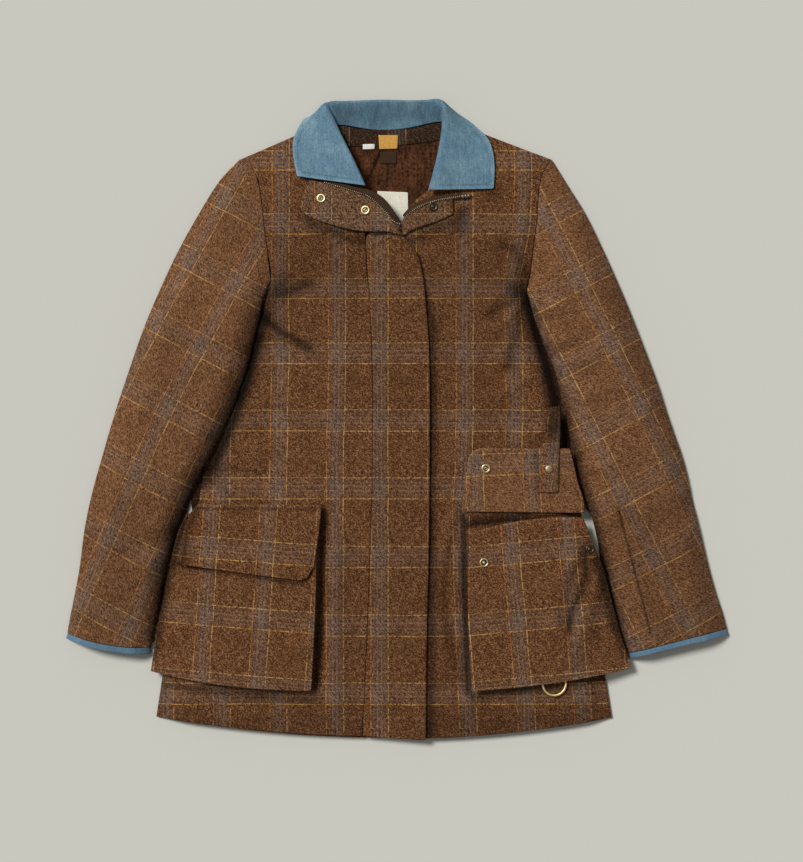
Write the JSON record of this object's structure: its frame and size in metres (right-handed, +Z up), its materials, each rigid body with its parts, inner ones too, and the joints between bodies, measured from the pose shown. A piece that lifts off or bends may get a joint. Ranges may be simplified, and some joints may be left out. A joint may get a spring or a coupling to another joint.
{
  "type": "shooting coat",
  "caption": "Women's checked tweed shooting coat laid flat, blue turned-down collar and cuff bindings, hidden zip under a fly, bellows pockets with flaps, lined.",
  "frame": {"origin": "middle of the bounding box, on the floor that the coat lies on", "axes": "+X to the wearer's left, across the sleeves; +Y from hem to collar; +Z up from the floor, out of the coat's front"},
  "size_m": [0.847, 0.8182, 0.0368],
  "materials": {
    "tweed": "woven wool tweed, matt",
    "collar_cloth": "brushed cotton, matt",
    "lining_cloth": "brushed lining cloth, matt",
    "facing_cloth": "dark woven facing, matt",
    "label_cream": "woven label, bare",
    "tab_yellow": "smooth tab, bare",
    "tag_white": "satin tag, bare",
    "patch_dark": "dark woven patch, bare",
    "zip_tape": "woven tape",
    "antique_brass": "antique brass",
    "ring_brass": "polished brass"
  },
  "bodies": {
    "root": {"back": "tweed", "care_tag": "tag_white", "collar": "collar_cloth", "cuff_binding_left": "collar_cloth", "cuff_binding_right": "collar_cloth", "d_ring": "ring_brass", "d_ring_loop": "zip_tape", "fly_left": "tweed", "fly_right": "tweed", "front_left": "tweed", "front_right": "tweed", "hanger_tab": "tab_yellow", "inner_label": "label_cream", "lining": "lining_cloth", "neck_facing": "facing_cloth", "pocket_left_bag": "tweed", "pocket_left_flap": "tweed", "pocket_left_gusset": "tweed", "pocket_right_bag": "tweed", "pocket_right_flap": "tweed", "pocket_right_gusset": "tweed", "pocket_strap": "tweed", "size_patch": "patch_dark", "sleeve_left_top": "tweed", "sleeve_left_under": "tweed", "sleeve_right_top": "tweed", "sleeve_right_under": "tweed", "snap_fly_left": "antique_brass", "snap_fly_lower": "antique_brass", "snap_fly_upper": "antique_brass", "snap_pocket_flap": "antique_brass", "snap_pocket_front": "antique_brass", "snap_pocket_side": "antique_brass", "snap_strap": "antique_brass", "zip_left": "zip_tape", "zip_right": "zip_tape"}
  },
  "joints": []
}
